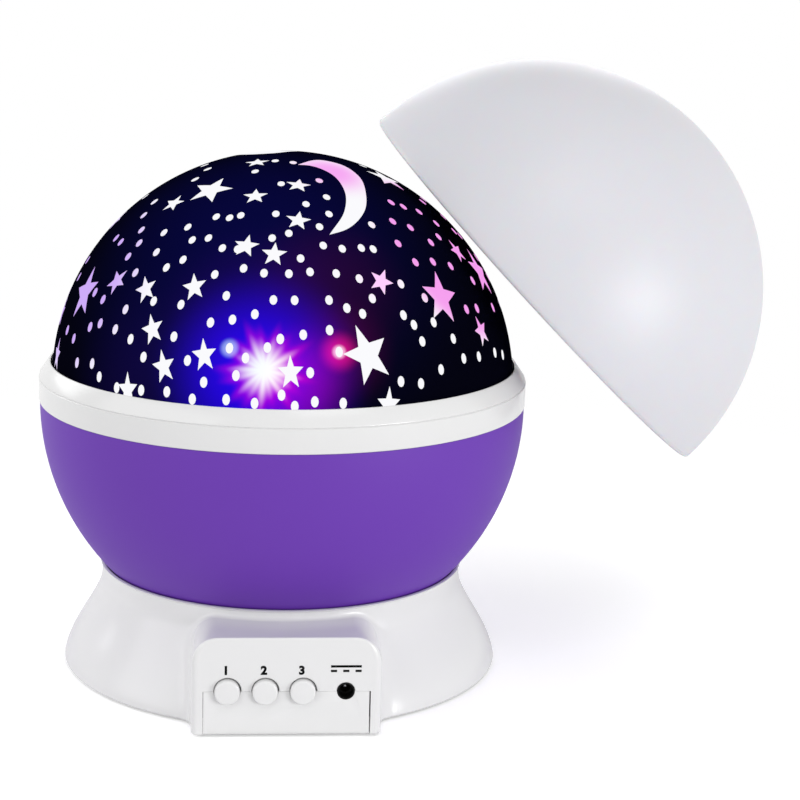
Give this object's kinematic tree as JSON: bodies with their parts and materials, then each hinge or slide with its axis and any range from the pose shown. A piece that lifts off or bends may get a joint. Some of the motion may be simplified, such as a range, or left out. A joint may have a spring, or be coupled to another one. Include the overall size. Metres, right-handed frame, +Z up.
{
  "type": "star night light projector",
  "caption": "Star night light projector: a turning globe with a star-cut dome on a flared white base with push buttons, and its milky diffuser cover lifted off.",
  "frame": {"origin": "on the globe's turning axis, at the plane the rubber feet rest on", "axes": "+Z up along the turning axis, -Y out of the control panel, +X to the right as seen from the panel"},
  "size_m": [0.1854, 0.1454, 0.1501],
  "materials": {
    "white_plastic": "glossy moulded",
    "purple_plastic": "satin moulded",
    "milky_plastic": "frosted, milky",
    "dome_plastic": "clear, tinted",
    "night_film": "printed gloss film",
    "foot_rubber": "matte",
    "steel": "plated",
    "brass": "plain",
    "cell_sleeve": "plain sleeve",
    "circuit_board": "solder resist",
    "black_plastic": "moulded",
    "wire_sleeve": "soft sleeve",
    "gear_plastic": "natural",
    "lamp_white": "clear, lit",
    "lamp_red": "clear, lit",
    "lamp_green": "clear, lit",
    "lamp_blue": "clear, lit"
  },
  "bodies": {
    "base": {"base_housing": "white_plastic", "bottom_cover": "white_plastic", "rubber_feet": "foot_rubber", "bottom_screws": "steel", "battery_cells": "cell_sleeve", "contact_plates": "steel", "contact_springs": "steel", "main_board": "circuit_board", "control_chip": "black_plastic", "board_screws": "steel", "switch_board": "circuit_board", "tact_switches": "black_plastic", "dc_jack": "black_plastic", "dc_jack_pin": "steel", "wires": "wire_sleeve", "thrust_washer": "gear_plastic", "retaining_clip": "steel", "idler_axle": "steel", "mech_plate": "steel", "mech_screws": "steel", "motor_gearbox": "brass", "motor_can": "steel", "motor_bracket": "steel", "bracket_screws": "steel", "lamp_stem": "white_plastic", "lamp_board": "circuit_board", "lamp_board_screws": "steel", "led_white": "lamp_white", "led_red": "lamp_red", "led_green": "lamp_green", "led_blue": "lamp_blue"},
    "button_1_body": {"button_1": "white_plastic", "plunger_1": "black_plastic"},
    "button_2_body": {"button_2": "white_plastic", "plunger_2": "black_plastic"},
    "button_3_body": {"button_3": "white_plastic", "plunger_3": "black_plastic"},
    "door": {"battery_door": "white_plastic"},
    "globe": {"bowl": "purple_plastic", "bowl_gear": "gear_plastic", "bowl_gear_screws": "steel"},
    "dome_unit": {"globe_ring": "white_plastic", "star_dome": "dome_plastic", "star_film": "night_film"},
    "idler": {"idler_gear": "gear_plastic"},
    "rotor": {"motor_shaft": "steel", "motor_pinion": "gear_plastic"},
    "cover": {"diffuser_cover": "milky_plastic"}
  },
  "joints": [
    {"name": "button_1_press", "type": "slide", "parent": "base", "child": "button_1_body", "axis": [0, 1, 0], "range_m": [0, 0.0008], "stiffness_N_per_m": 800},
    {"name": "button_2_press", "type": "slide", "parent": "base", "child": "button_2_body", "axis": [0, 1, 0], "range_m": [0, 0.0008], "stiffness_N_per_m": 800},
    {"name": "button_3_press", "type": "slide", "parent": "base", "child": "button_3_body", "axis": [0, 1, 0], "range_m": [0, 0.0008], "stiffness_N_per_m": 800},
    {"name": "door_slide", "type": "slide", "parent": "base", "child": "door", "axis": [0, 1, 0], "range_m": [0, 0.052]},
    {"name": "globe_spin", "type": "hinge", "parent": "base", "child": "globe", "pos_m": [0, 0, 0.06622], "axis": [0, 0, 1], "continuous": true},
    {"name": "dome_twist", "type": "hinge", "parent": "globe", "child": "dome_unit", "pos_m": [0, 0, 0.06692], "axis": [0, 0, 1], "range_deg": [0, 18]},
    {"name": "idler_spin", "type": "hinge", "parent": "base", "child": "idler", "pos_m": [0, 0.024, 0.02742], "axis": [0, 0, 1], "continuous": true},
    {"name": "rotor_spin", "type": "hinge", "parent": "base", "child": "rotor", "pos_m": [-0.0176, 0.01632, 0.02742], "axis": [0, 0, 1], "continuous": true},
    {"name": "cover_lift", "type": "slide", "parent": "base", "child": "cover", "axis": [0, 0, 1], "range_m": [0, 0.08]}
  ],
  "couplings": [
    {"joint": "idler_spin", "follows": "globe_spin", "ratio": -4},
    {"joint": "rotor_spin", "follows": "globe_spin", "ratio": 12}
  ]
}
